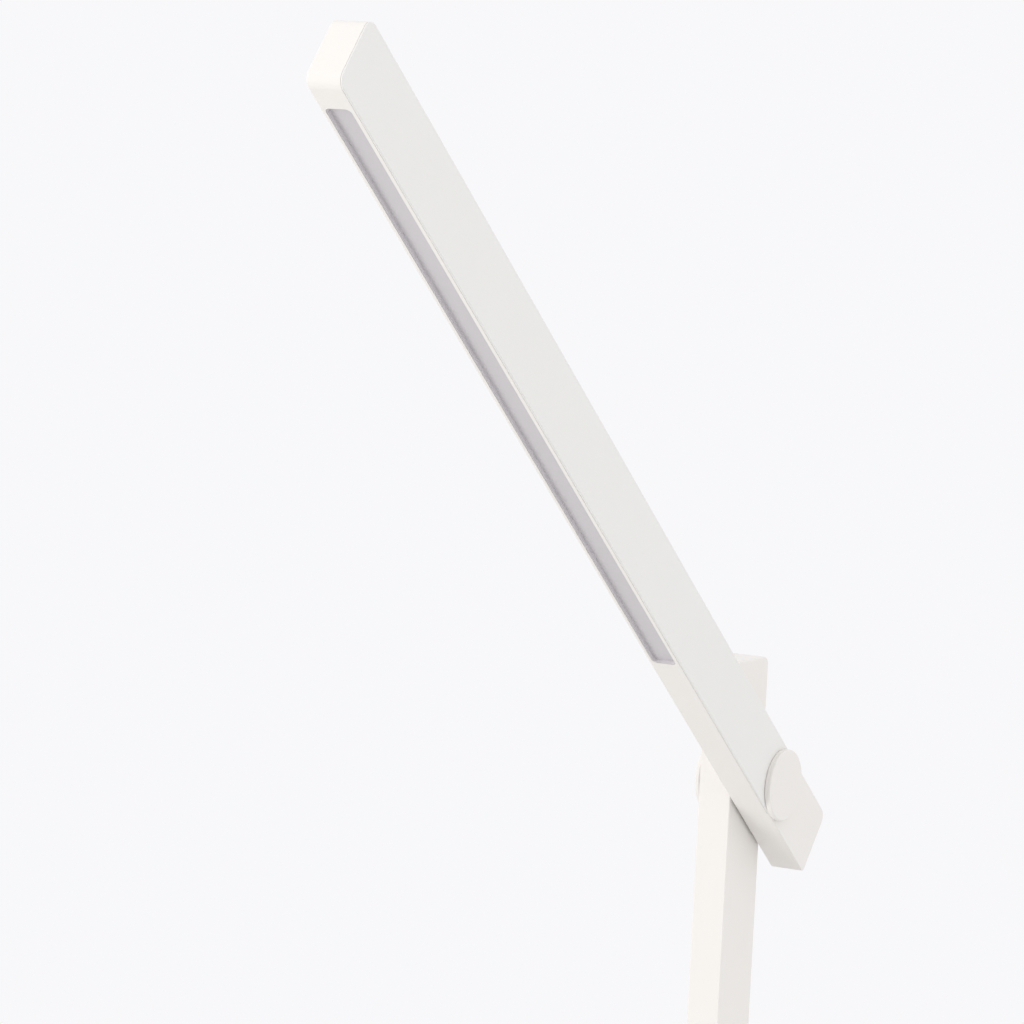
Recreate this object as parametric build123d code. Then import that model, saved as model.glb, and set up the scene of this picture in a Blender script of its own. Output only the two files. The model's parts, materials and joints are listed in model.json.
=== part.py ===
from build123d import *
from math import cos, radians, sin
import os

# A folding desk lamp. Three bars of one section stand side by side and turn about two
# horizontal axles: a short stem on the base, the post, and the head that carries the light.
# Millimetres. X runs along the axles towards the head, -Y is the front, +Z is up.
# The origin is the middle of the surface that the feet stand on.

# ---------------------------------------------------------------- driving dimensions
# Bars
bar_width = 12.8
bar_depth = 25.6
bar_gap = 1.0
edge_round = 0.4
cover_thickness = 0.8
seam_chamfer = 0.2

# Pose shown at rest, in degrees
head_rise = 45.0
post_lean = 5.5

# Head
head_reach = 410.0
head_tail = 40.6
tip_round = 4.0
tail_top_round = 4.0
tail_bottom_round = 1.5
shell_top_wall = 1.5
shell_floor_wall = 1.5
shell_tip_wall = 1.6
boss_reach = 17.0
window_start = 97.0
window_tip_margin = 13.0
window_width = 9.3
window_round = 2.0

# Light
diffuser_thickness = 1.5
diffuser_lap = 3.0
diffuser_rim_wall = 0.35
diffuser_rim_recess = 0.2
reflector_height = 6.0
reflector_wall = 0.8
board_thickness = 1.0
board_overhang = 9.0
heat_plate_thickness = 1.5
heat_web_thickness = 1.5
heat_web_height = 7.0
heat_boss_count = 4
heat_boss_diameter = 5.0
heat_boss_length = 3.6
heat_screw_rise = 3.4
chip_count = 30
chip_length = 3.5
chip_width = 2.8
chip_height = 0.7
socket_length = 7.0
socket_width = 5.0
socket_height = 3.2
peg_count = 6
peg_diameter = 2.6
peg_socket_diameter = 5.0
peg_length = 5.0
peg_rise = 8.2

# Hinge hardware
axle_diameter = 8.0
axle_bore = 4.6
axle_bore_blind = 2.4
axle_head_diameter = 14.0
axle_head_thickness = 2.2
axle_key_width = 5.0
axle_key_depth = 0.7
axle_window = 3.4
seat_depth = 3.0
well_diameter = 18.0
bush_diameter = 12.0
bush_length = 3.0
friction_washer_diameter = 22.0
washer_diameter = 16.0
pressure_washer_thickness = 0.8
spring_washer_thickness = 0.6
spring_washer_rise = 0.4
nut_across_flats = 13.0
nut_thickness = 2.2
axle_end_margin = 0.15
cap_diameter = 26.2
outer_cap_thickness = 2.4
post_cap_thickness = 1.8
cap_round = 0.5
cap_foot_chamfer = 0.35
cap_spigot_length = 0.8
cap_spigot_wall = 0.95
notch_margin = 2.2

# Post
arm_length = 428.0
post_top = 44.5
post_top_round = 3.0
tube_wall = 1.2
top_plug_depth = 4.0
head_insert_length = 28.0
foot_insert_rise = 22.0

# Leads
lead_diameter = 2.0
supply_lead_diameter = 2.2
lead_channel = 2.6
hinge_bend_radius = 2.9
lead_meet = 10.0
lead_bend_radius = 7.0
head_lead_level = 14.0
stem_lead_bend_radius = 2.0
base_lead_bend_radius = 12.0
base_lead_reach = 33.0
supply_lead_bend_radius = 14.0

# Base
base_width = 120.0
base_length = 170.0
base_top = 20.0
base_corner = 22.0
base_edge_round = 3.0
base_wall = 2.2
foot_height = 2.0
foot_recess = 1.0
foot_diameter = 12.0
foot_side_inset = 18.0
foot_end_inset = 17.0
bottom_thickness = 2.5
plate_thickness = 5.0
plate_side_gap = 3.8
plate_front_gap = 2.8
plate_jack_gap = 6.0
plate_corner = 17.0
axle_rear_inset = 37.0
axle_height = 34.6
stem_flange_thickness = 3.0
stem_flange_side = 6.0
stem_flange_front = 20.0

# Buttons and control board
control_board_width = 84.0
control_board_depth = 38.0
control_board_inset = 13.0
control_board_thickness = 1.6
control_board_z = 11.4
button_inset = 29.0
button_pitch = 26.0
power_button_diameter = 16.0
small_button_diameter = 11.0
button_rise = 0.8
button_travel = 0.5
button_flange = 1.5
button_flange_thickness = 1.2
button_stem_diameter = 4.0
button_stem_length = 0.6
button_round = 0.5
switch_side = 6.2
switch_height = 2.2
plunger_diameter = 3.2
plunger_seat = 1.2
chip_side = 5.0
driver_chip_height = 1.2
inductor_diameter = 7.0
inductor_height = 3.2
capacitor_diameter = 6.0
capacitor_height = 4.0
connector_length = 6.0
connector_width = 7.0
connector_height = 4.2
connector_x = 22.0
components_inset = 42.0
components_pitch = 11.0

# Supply inlet
jack_side_inset = 28.0
jack_width = 11.0
jack_depth = 14.8
jack_height = 12.0
jack_nose_diameter = 8.0
jack_bore = 5.6
jack_bore_depth = 10.0
jack_pin_diameter = 2.0
jack_pin_recess = 0.8

# Fasteners
small_screw_diameter = 2.2
small_screw_head = 4.0
small_screw_head_height = 1.4
heat_screw_length = 4.0
board_screw_length = 5.0
base_screw_diameter = 3.0
base_screw_head = 5.6
base_screw_head_height = 1.5
base_screw_length = 14.0
base_screw_side_inset = 10.0
base_screw_end_inset = 35.0
base_boss_diameter = 8.0
board_boss_diameter = 6.0
board_boss_inset = 4.0
stem_screw_diameter = 3.0
stem_screw_head = 5.6
stem_screw_length = 7.0
stem_screw_inset = 3.0

# Clearances
running_clearance = 0.05
seat_clearance = 0.05
slip_clearance = 0.15
button_clearance = 0.2

# ---------------------------------------------------------------- places worked out
half_width = bar_width / 2
half_depth = bar_depth / 2
outer_bar_near = half_width + bar_gap
outer_bar_far = outer_bar_near + bar_width
cover_inside = outer_bar_far - cover_thickness

window_rim = (bar_width - cover_thickness - window_width) / 2
window_middle = outer_bar_near + window_rim + window_width / 2
cavity_near = outer_bar_near + window_rim
window_end = head_reach - window_tip_margin
window_length = window_end - window_start
window_y = -(window_start + window_end) / 2

diffuser_bottom = -half_depth + shell_floor_wall
reflector_bottom = diffuser_bottom + diffuser_thickness
led_board_bottom = reflector_bottom + reflector_height
led_board_top = led_board_bottom + board_thickness
heat_plate_top = led_board_top + heat_plate_thickness
heat_screw_z = heat_plate_top + heat_screw_rise
light_near = cavity_near + seat_clearance
light_far = cover_inside - seat_clearance
light_tip = -window_end - diffuser_lap
light_root = -window_start + diffuser_lap
heat_web_x = cavity_near + heat_boss_length
led_socket_root = light_root + board_overhang - slip_clearance
led_socket_z = led_board_top + socket_height / 2

axle_radius = axle_diameter / 2
seat_x = half_width - seat_depth
well_floor = outer_bar_near + bush_length
pressure_washer_x = well_floor + running_clearance
spring_washer_x = pressure_washer_x + pressure_washer_thickness
spring_washer_height = spring_washer_thickness + spring_washer_rise
nut_x = spring_washer_x + 2 * spring_washer_height
axle_end = nut_x + nut_thickness + axle_end_margin
lead_x = cover_inside - lead_diameter / 2
boss_radius = well_diameter / 2 + notch_margin

base_front = -base_length / 2
base_rear = base_length / 2
foot_x = base_width / 2 - foot_side_inset
foot_y = base_rear - foot_end_inset
base_screw_x = base_width / 2 - base_screw_side_inset
base_screw_y = base_rear - base_screw_end_inset
axle_y = base_rear - axle_rear_inset
button_y = base_front + button_inset
components_y = base_front + components_inset
control_board_front = base_front + control_board_inset
jack_x = base_width / 2 - jack_side_inset
jack_rear = base_rear - base_wall
jack_front = jack_rear - jack_depth
plate_front = base_front + base_wall + plate_front_gap
plate_rear = jack_front - plate_jack_gap

base_floor = foot_height
plate_bottom = base_floor + bottom_thickness
plate_top = plate_bottom + plate_thickness
base_ceiling = base_top - base_wall
flange_top = plate_top + stem_flange_thickness
control_board_top = control_board_z + control_board_thickness
control_board_rear = control_board_front + control_board_depth
stem_bottom = plate_top - axle_height
stem_cover_bottom = base_ceiling - axle_height
lead_exit_low = flange_top - axle_height + slip_clearance
lead_exit_high = lead_exit_low + lead_channel + lead_diameter
base_screw_bottom = base_floor + slip_clearance
base_screw_seat = base_screw_bottom + base_screw_head_height
base_screw_top = base_screw_seat + base_screw_length
board_screw_top = control_board_z + board_screw_length
jack_z = plate_bottom + jack_height / 2
switch_top = control_board_top + switch_height
plunger_bottom = switch_top - plunger_seat
plunger_top = base_ceiling - button_flange_thickness - button_stem_length

lower_axle = Location((0, axle_y, axle_height))
post_place = lower_axle * Rot(X=-post_lean)
upper_axle_y = axle_y + arm_length * sin(radians(post_lean))
upper_axle_z = axle_height + arm_length * cos(radians(post_lean))
head_place = Location((0, upper_axle_y, upper_axle_z)) * Rot(X=-head_rise)
in_post_top = Location((0, 0, arm_length))

BUTTONS = {
    "colour_button": (-button_pitch, small_button_diameter),
    "power_button": (0.0, power_button_diameter),
    "dimmer_button": (button_pitch, small_button_diameter),
}


# ---------------------------------------------------------------- shared shapes
def block(x0, x1, y0, y1, z0, z1):
    """A box between two opposite corners."""
    size = (x1 - x0, y1 - y0, z1 - z0)
    return Pos((x0 + x1) / 2, (y0 + y1) / 2, (z0 + z1) / 2) * Box(*size)


def rod_x(radius, x0, x1, y=0.0, z=0.0):
    """A cylinder that runs along X."""
    return Pos((x0 + x1) / 2, y, z) * Rot(Y=90) * Cylinder(radius, abs(x1 - x0))


def rod_y(radius, y0, y1, x=0.0, z=0.0):
    """A cylinder that runs along Y."""
    return Pos(x, (y0 + y1) / 2, z) * Rot(X=90) * Cylinder(radius, abs(y1 - y0))


def rod_z(radius, z0, z1, x=0.0, y=0.0):
    """A cylinder that runs along Z."""
    return Pos(x, y, (z0 + z1) / 2) * Cylinder(radius, abs(z1 - z0))


def ring_x(outer, inner, x0, x1):
    """A plain washer about the X axis."""
    return rod_x(outer, x0, x1) - rod_x(inner, x0, x1)


def side_plate(outline, x0, x1):
    """A flat sketch of (y, z) points raised from x0 to x1."""
    return Pos(x0, 0, 0) * extrude(Plane.YZ * outline, x1 - x0)


def rounded_outline(points, radii):
    """A closed outline with its own radius at each corner."""
    return make_face(FilletPolyline(*points, radius=radii, close=True))


def plan(width, length, corner, z0, z1):
    """A rounded rectangle, seen from above, raised from z0 to z1."""
    return Pos(0, 0, z0) * extrude(RectangleRounded(width, length, corner), z1 - z0)


def soften_sides(bar, x0, x1, radius):
    """Round the rim of a bar's two flat sides."""
    rims = [edge for edge in bar.edges() if on_side(edge, x0) or on_side(edge, x1)]
    return fillet(rims, radius)


def on_side(edge, x):
    """Whether an edge lies in the plane at x."""
    box = edge.bounding_box()
    return abs(box.min.X - x) < 1e-4 and abs(box.max.X - x) < 1e-4


def mirrored(shape):
    """The same piece on the other side of the post."""
    return mirror(shape, Plane.YZ)


def lead(diameter, points, radii):
    """A round lead along straight runs joined by tangent arcs."""
    path = FilletPolyline(*points, radius=radii)
    start = Plane(origin=path @ 0, z_dir=path % 0)
    return sweep(start * Circle(diameter / 2), path)


def spread(count, first, last):
    """Evenly spaced places from first to last."""
    return [first + (last - first) * i / (count - 1) for i in range(count)]


# ---------------------------------------------------------------- hinge between two bars
# Drawn for a carrying bar in the middle and a turning bar on its +X side.
def hinge_axle(window_side):
    """Hollow bolt with a window through which the lead leaves it inside the post."""
    head = rod_x(axle_head_diameter / 2, -seat_x - axle_head_thickness, -seat_x)
    shank = rod_x(axle_radius, -seat_x, axle_end)
    bore = rod_x(axle_bore / 2, -axle_bore_blind, axle_end)
    slot = block(
        -seat_x - axle_head_thickness,
        -seat_x - axle_head_thickness + axle_key_depth,
        -axle_key_width,
        axle_key_width,
        -axle_key_depth,
        axle_key_depth,
    )
    window = rod_z(axle_window / 2, 0, window_side * axle_diameter)
    return head + shank - bore - slot - window


def hinge_bush():
    """Plain bush in which the axle turns."""
    return ring_x(bush_diameter / 2, axle_radius + running_clearance, outer_bar_near, well_floor)


def hinge_friction_washer():
    """Thin washer that fills the gap between the two bars."""
    thickness = bar_gap - running_clearance
    inner = axle_radius + running_clearance
    return ring_x(friction_washer_diameter / 2, inner, half_width, half_width + thickness)


def hinge_pressure_washer():
    """Flat washer on the floor of the well."""
    inner = axle_radius + running_clearance
    return ring_x(washer_diameter / 2, inner, pressure_washer_x, spring_washer_x)


def hinge_spring_washers():
    """Two dished washers set rim to rim, which keep the joint stiff."""
    inner = axle_radius + running_clearance
    outer = washer_diameter / 2
    rise = spring_washer_rise
    thick = spring_washer_thickness
    corners = [(0, outer), (rise, inner), (rise + thick, inner), (thick, outer)]
    turned = revolve(make_face(Polyline(*corners, close=True)), Axis.X)
    first = Pos(spring_washer_x, 0, 0) * mirror(turned, Plane.YZ.offset(spring_washer_height / 2))
    second = Pos(spring_washer_x + spring_washer_height, 0, 0) * turned
    return [first, second]


def hinge_nut():
    """Thin hexagon nut on the end of the axle."""
    hexagon = RegularPolygon(nut_across_flats / 2, 6, major_radius=False)
    return side_plate(hexagon, nut_x, nut_x + nut_thickness) - rod_x(axle_radius, nut_x, axle_end)


def hinge_cap(face_x, thickness):
    """Round cap that closes the well, with a short spigot that locates it."""
    disc = rod_x(cap_diameter / 2, face_x, face_x + thickness)
    rims = disc.edges().filter_by(GeomType.CIRCLE).sort_by(Axis.X)
    disc = fillet(rims[-1], cap_round)
    foot = disc.edges().filter_by(GeomType.CIRCLE).sort_by(Axis.X)[0]
    disc = chamfer(foot, cap_foot_chamfer)
    outer = well_diameter / 2 - seat_clearance
    spigot = ring_x(outer, outer - cap_spigot_wall, face_x - cap_spigot_length, face_x)
    return disc + spigot


def turning_bar_cuts(channel_end_y, channel_end_z):
    """Bore, bush seat, well and lead channel in the bar that turns on the axle."""
    bush_seat = rod_x(bush_diameter / 2, outer_bar_near, well_floor)
    well = rod_x(well_diameter / 2, well_floor, outer_bar_far)
    half = lead_channel / 2
    near = cover_inside - lead_channel
    y0, y1 = sorted((channel_end_y, half if channel_end_y < 0 else -half))
    z0, z1 = sorted((channel_end_z, half if channel_end_z < 0 else -half))
    channel = block(near, outer_bar_far, y0, y1, z0, z1)
    return bush_seat + well + channel


def carrying_bar_cuts():
    """Bore and well that the axle needs in the post."""
    bore = rod_x(axle_radius + running_clearance, -half_width, half_width)
    well = rod_x(well_diameter / 2, -half_width, -seat_x)
    return bore + well


# ---------------------------------------------------------------- head, drawn level, tip at -Y
def head_bar():
    """The head's whole outer form."""
    outline = rounded_outline(
        [
            (-head_reach, -half_depth),
            (head_tail, -half_depth),
            (head_tail, half_depth),
            (-head_reach, half_depth),
        ],
        [tip_round, tail_bottom_round, tail_top_round, tip_round],
    )
    bar = side_plate(outline, outer_bar_near, outer_bar_far)
    return soften_sides(bar, outer_bar_near, outer_bar_far, edge_round)


def cover_zone(y0, y1, z0, z1):
    """Space of a side cover, notched round the hinge boss."""
    zone = block(cover_inside, outer_bar_far, y0, y1, z0, z1)
    return zone - rod_x(boss_radius, cover_inside, outer_bar_far)


def chamfer_seam(cover, along, across):
    """Break the cover's long inner edges, which leaves a fine groove at the seam."""
    seams = []
    for edge in cover.edges().filter_by(along):
        offset = abs(edge.center().dot(across.direction))
        if on_side(edge, cover_inside) and abs(offset - half_depth) < seam_chamfer:
            seams.append(edge)
    return chamfer(seams, seam_chamfer)


def peg_places():
    """Distances along the head of the pegs that hold the side cover."""
    return spread(peg_count, -window_end, -window_start)


def heat_screw_places():
    """Distances along the head of the screws that hold the heat sink."""
    return spread(heat_boss_count, -window_end + window_width, -window_start - window_width)


def make_head_shell(bar):
    """Moulding with the inner side, top, underside, tip and solid tail."""
    floor = -half_depth + shell_floor_wall
    roof = half_depth - shell_top_wall
    cavity = block(cavity_near, cover_inside, -head_reach + shell_tip_wall, -boss_reach, floor, roof)
    window_place = Pos(window_middle, window_y, -half_depth)
    window = extrude(RectangleRounded(window_width, window_length, window_round), shell_floor_wall)
    window = window_place * window
    shell = bar - cover_zone(-head_reach, 0, -half_depth, half_depth) - cavity - window
    shell -= turning_bar_cuts(-boss_reach, -lead_channel / 2)
    socket_end = cover_inside - seat_clearance
    for y in peg_places():
        shell += rod_x(peg_socket_diameter / 2, cavity_near, socket_end, y, peg_rise)
        shell -= rod_x(peg_diameter / 2 + seat_clearance, socket_end - peg_length, socket_end, y, peg_rise)
    for y in heat_screw_places():
        boss_end = cavity_near + heat_boss_length
        shell += rod_x(heat_boss_diameter / 2, cavity_near, boss_end, y, heat_screw_z)
        shell -= rod_x(small_screw_diameter / 2, boss_end - heat_screw_length, boss_end, y, heat_screw_z)
    return shell


def make_head_side_cover(bar):
    """Flat plate over the outer side, with pegs on its back."""
    cover = bar & cover_zone(-head_reach, 0, -half_depth, half_depth)
    cover = chamfer_seam(cover, Axis.Y, Axis.Z)
    for y in peg_places():
        cover += rod_x(peg_diameter / 2, cover_inside - peg_length, cover_inside, y, peg_rise)
    return cover


def make_diffuser():
    """Milky strip on the rim of the window, with a thin rim of its own that lines the window."""
    strip = block(light_near, light_far, light_tip, light_root, diffuser_bottom, reflector_bottom)
    width = window_width - 2 * seat_clearance
    length = window_length - 2 * seat_clearance
    corner = window_round - seat_clearance
    inset = 2 * diffuser_rim_wall
    rim = RectangleRounded(width, length, corner)
    rim -= RectangleRounded(width - inset, length - inset, corner - diffuser_rim_wall)
    rim_place = Pos(window_middle, window_y, -half_depth + diffuser_rim_recess)
    return strip + rim_place * extrude(rim, shell_floor_wall - diffuser_rim_recess)


def make_reflector_frame():
    """White frame that keeps the light between the board and the diffuser."""
    outer = block(light_near, light_far, light_tip, light_root, reflector_bottom, led_board_bottom)
    inner = block(
        light_near + reflector_wall,
        light_far - reflector_wall,
        light_tip + reflector_wall,
        light_root - reflector_wall,
        reflector_bottom,
        led_board_bottom,
    )
    return outer - inner


def make_led_board():
    """Metal-core board, a little longer than the reflector at the hinge end."""
    root = light_root + board_overhang
    return block(light_near, light_far, light_tip, root, led_board_bottom, led_board_top)


def make_led_chips():
    """One row of light-emitting chips below the board."""
    x0 = window_middle - chip_width / 2
    chip_bottom = led_board_bottom - chip_height
    chips = []
    for y in spread(chip_count, -window_end + chip_length, -window_start - chip_length):
        y0 = y - chip_length / 2
        chips.append(block(x0, x0 + chip_width, y0, y0 + chip_length, chip_bottom, led_board_bottom))
    return chips


def make_heat_sink():
    """Aluminium T-bar on the board's back, screwed to the shell through its web."""
    plate = block(light_near, light_far, light_tip, light_root, led_board_top, heat_plate_top)
    web_top = heat_plate_top + heat_web_height
    web_far = heat_web_x + heat_web_thickness
    bar = plate + block(heat_web_x, web_far, light_tip, light_root, heat_plate_top, web_top)
    for y in heat_screw_places():
        hole = small_screw_diameter / 2 + slip_clearance
        bar -= rod_x(hole, heat_web_x, web_far, y, heat_screw_z)
    return bar


def make_heat_sink_screws():
    """Self-tapping screws through the T-bar's web."""
    seat = heat_web_x + heat_web_thickness
    screws = []
    for y in heat_screw_places():
        head = rod_x(small_screw_head / 2, seat, seat + small_screw_head_height, y, heat_screw_z)
        tip = heat_web_x - heat_screw_length + heat_web_thickness
        screws.append(head + rod_x(small_screw_diameter / 2, tip, seat, y, heat_screw_z))
    return screws


def make_led_connector():
    """Socket in which the head's lead ends."""
    x0 = window_middle - socket_width / 2
    y0 = led_socket_root - socket_length
    return block(x0, x0 + socket_width, y0, led_socket_root, led_board_top, led_board_top + socket_height)


def make_head_lead():
    """Lead from the light's socket into the hollow axle."""
    points = [
        (window_middle, led_socket_root, led_socket_z),
        (window_middle, led_socket_root + lead_bend_radius, led_socket_z),
        (lead_x, -boss_reach - head_lead_level, 0),
        (lead_x, 0, 0),
        (lead_meet, 0, 0),
    ]
    return lead(lead_diameter, points, [lead_bend_radius, lead_bend_radius, hinge_bend_radius])


# ---------------------------------------------------------------- post, drawn upright
def post_bar():
    """The post's whole outer form: round at the foot, softened at the top."""
    top = arm_length + post_top
    straight = rounded_outline(
        [(-half_depth, 0), (half_depth, 0), (half_depth, top), (-half_depth, top)],
        [0, 0, post_top_round, post_top_round],
    )
    bar = side_plate(straight + Circle(half_depth), -half_width, half_width)
    return soften_sides(bar, -half_width, half_width, edge_round)


def post_inside(clearance, z0, z1):
    """The tube's inner space between two heights, less a clearance."""
    x = half_width - tube_wall - clearance
    y = half_depth - tube_wall - clearance
    return block(-x, x, -y, y, z0, z1)


def make_post_tube(bar):
    """Rectangular tube with the hinge holes through its two sides."""
    upper = in_post_top * carrying_bar_cuts()
    lower = mirrored(carrying_bar_cuts())
    return bar - post_inside(0, -half_depth, arm_length + post_top) - upper - lower


def make_post_top_cap(bar):
    """Plug that closes the top of the tube, flush with its rim."""
    top = arm_length + post_top
    plug = bar & post_inside(slip_clearance / 2, top - top_plug_depth, top)
    lengthwise = plug.edges().filter_by(Axis.Y)
    rim = [edge for edge in lengthwise if edge.bounding_box().min.Z > top - seam_chamfer]
    return chamfer(rim, seam_chamfer)


def make_post_head_insert():
    """Block in the tube that the upper axle passes through."""
    insert = post_inside(seat_clearance, -head_insert_length / 2, head_insert_length / 2)
    insert -= carrying_bar_cuts()
    insert -= rod_z(axle_window / 2, -head_insert_length / 2, 0)
    return in_post_top * insert


def make_post_foot_insert(bar):
    """Block that fills the round foot of the post."""
    insert = bar & post_inside(seat_clearance, -half_depth, foot_insert_rise)
    insert -= mirrored(carrying_bar_cuts())
    return insert - rod_z(axle_window / 2, 0, foot_insert_rise)


def make_post_lead():
    """Lead down the tube, from inside one hollow axle to inside the other."""
    points = [
        (lead_meet, 0, arm_length),
        (0, 0, arm_length),
        (0, 0, 0),
        (-lead_meet, 0, 0),
    ]
    return lead(lead_diameter, points, [hinge_bend_radius, hinge_bend_radius])


# ---------------------------------------------------------------- stem, drawn on the +X side
def stem_bar():
    """The stem's outer form above its flange: round at the top."""
    straight = Pos(0, stem_bottom / 2) * Rectangle(bar_depth, -stem_bottom)
    bar = side_plate(straight + Circle(half_depth), outer_bar_near, outer_bar_far)
    return soften_sides(bar, outer_bar_near, outer_bar_far, edge_round)


def stem_screw_places():
    """Places of the flange screws, beside the stem."""
    near = outer_bar_near - stem_flange_side + stem_screw_inset
    far = outer_bar_far + stem_flange_side - stem_screw_inset
    front = -stem_flange_front + stem_screw_inset
    rear = half_depth - stem_screw_inset
    return [(x, y) for x in (near, far) for y in (front, rear)]


def make_stem_body(bar):
    """Cast stem with a flange that is screwed to the weight plate."""
    flange = block(
        outer_bar_near - stem_flange_side,
        outer_bar_far + stem_flange_side,
        -stem_flange_front,
        half_depth,
        stem_bottom,
        stem_bottom + stem_flange_thickness,
    )
    zone = cover_zone(-half_depth, half_depth, stem_cover_bottom, 0)
    body = bar + flange - zone - turning_bar_cuts(-lead_channel / 2, lead_exit_low)
    near = cover_inside - lead_channel
    body -= block(near, outer_bar_far, -half_depth, 0, lead_exit_low, lead_exit_high)
    for x, y in stem_screw_places():
        hole = stem_screw_diameter / 2 + slip_clearance
        body -= rod_z(hole, stem_bottom, stem_bottom + stem_flange_thickness, x, y)
    return body


def make_stem_side_cover(bar):
    """Plate over the stem's lead channel."""
    zone = cover_zone(-half_depth, half_depth, stem_cover_bottom, 0)
    return chamfer_seam(bar & zone, Axis.Z, Axis.Y)


def make_stem_screws():
    """Flange screws, down into the weight plate."""
    top = stem_bottom + stem_flange_thickness
    head_height = base_screw_head_height
    screws = []
    for x, y in stem_screw_places():
        head = rod_z(stem_screw_head / 2, top, top + head_height, x, y)
        screws.append(head + rod_z(stem_screw_diameter / 2, top - stem_screw_length, top, x, y))
    return screws


def make_base_lead():
    """Lead from the lower axle down the stem and along the base to the board."""
    exit_z = (lead_exit_low + lead_exit_high) / 2
    board_x = -connector_x
    board_y = control_board_rear - axle_y
    board_z = control_board_top + connector_height / 2 - axle_height
    points = [
        (-lead_meet, 0, 0),
        (-lead_x, 0, 0),
        (-lead_x, 0, exit_z),
        (-lead_x, -base_lead_reach, exit_z),
        (board_x, board_y + base_lead_bend_radius + lead_bend_radius, board_z),
        (board_x, board_y, board_z),
    ]
    radii = [hinge_bend_radius, stem_lead_bend_radius, base_lead_bend_radius, lead_bend_radius]
    return lead(lead_diameter, points, radii)


# ---------------------------------------------------------------- base
def base_screw_places():
    """Four screws near the corners of the base."""
    return [(sx * base_screw_x, sy * base_screw_y) for sx in (-1, 1) for sy in (-1, 1)]


def board_screw_places():
    """Four screws at the corners of the control board."""
    x = control_board_width / 2 - board_boss_inset
    y0 = control_board_front + board_boss_inset
    y1 = control_board_rear - board_boss_inset
    return [(sx * x, y) for sx in (-1, 1) for y in (y0, y1)]


def base_inside(clearance, z0, z1):
    """The base's inner space between two heights, less a clearance."""
    shrink = 2 * (base_wall + clearance)
    corner = base_corner - base_wall - clearance
    return plan(base_width - shrink, base_length - shrink, corner, z0, z1)


def make_base_top_cover():
    """Shell of the base with the openings for the stem, the buttons and the inlet."""
    cover = plan(base_width, base_length, base_corner, base_floor, base_top)
    cover = fillet(cover.edges().group_by(Axis.Z)[-1], base_edge_round)
    cover -= base_inside(0, base_floor, base_ceiling)
    gap = slip_clearance
    cover -= block(
        -outer_bar_far - gap,
        -outer_bar_near + gap,
        axle_y - half_depth - gap,
        axle_y + half_depth + gap,
        base_ceiling,
        base_top,
    )
    for x, diameter in BUTTONS.values():
        cover -= rod_z(diameter / 2 + button_clearance, base_ceiling, base_top, x, button_y)
    for x, y in base_screw_places():
        cover += rod_z(base_boss_diameter / 2, plate_top, base_ceiling, x, y)
        cover -= rod_z(base_screw_diameter / 2, plate_top, base_screw_top, x, y)
    for x, y in board_screw_places():
        cover += rod_z(board_boss_diameter / 2, control_board_top, base_ceiling, x, y)
        cover -= rod_z(small_screw_diameter / 2, control_board_top, board_screw_top, x, y)
    nose_radius = jack_nose_diameter / 2 + slip_clearance
    return cover - rod_y(nose_radius, jack_rear, base_rear, jack_x, jack_z)


def make_base_bottom_cover():
    """Floor plate of the base with seats for the feet and the screws."""
    cover = base_inside(slip_clearance, base_floor, plate_bottom)
    for x, y in foot_places():
        cover -= rod_z(foot_diameter / 2 + seat_clearance, base_floor, base_floor + foot_recess, x, y)
    for x, y in base_screw_places():
        cover -= rod_z(base_screw_head / 2 + slip_clearance, base_floor, base_screw_seat, x, y)
        cover -= rod_z(base_screw_diameter / 2 + slip_clearance, base_screw_seat, plate_bottom, x, y)
    return cover


def foot_places():
    """One foot near each corner and one in the middle, under the weight."""
    corners = [(sx * foot_x, sy * foot_y) for sx in (-1, 1) for sy in (-1, 1)]
    return corners + [(0, 0)]


def make_rubber_feet():
    """Round feet pressed into the floor plate."""
    return [rod_z(foot_diameter / 2, 0, base_floor + foot_recess, x, y) for x, y in foot_places()]


def make_weight_plate():
    """Steel plate that keeps the lamp standing."""
    half_x = base_width / 2 - base_wall - plate_side_gap
    middle = (plate_front + plate_rear) / 2
    outline = RectangleRounded(2 * half_x, plate_rear - plate_front, plate_corner)
    plate = Pos(0, middle, plate_bottom) * extrude(outline, plate_thickness)
    for x, y in base_screw_places():
        plate -= rod_z(base_screw_diameter / 2 + slip_clearance, plate_bottom, plate_top, x, y)
    for x, y in stem_screw_places():
        depth = stem_screw_length - stem_flange_thickness
        plate -= rod_z(stem_screw_diameter / 2, plate_top - depth, plate_top, -x, y + axle_y)
    return plate


def make_base_screws():
    """Long screws from below into the top cover's bosses."""
    screws = []
    for x, y in base_screw_places():
        head = rod_z(base_screw_head / 2, base_screw_bottom, base_screw_seat, x, y)
        screws.append(head + rod_z(base_screw_diameter / 2, base_screw_seat, base_screw_top, x, y))
    return screws


# ---------------------------------------------------------------- controls
def make_control_board():
    """Circuit board under the buttons, screwed to the top cover's bosses."""
    x = control_board_width / 2
    board = block(-x, x, control_board_front, control_board_rear, control_board_z, control_board_top)
    for sx, sy in board_screw_places():
        board -= rod_z(small_screw_diameter / 2 + slip_clearance, control_board_z, control_board_top, sx, sy)
    return board


def make_board_screws():
    """Screws that hold the control board from below."""
    screws = []
    for x, y in board_screw_places():
        head_bottom = control_board_z - small_screw_head_height
        head = rod_z(small_screw_head / 2, head_bottom, control_board_z, x, y)
        screws.append(head + rod_z(small_screw_diameter / 2, control_board_z, board_screw_top, x, y))
    return screws


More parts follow.
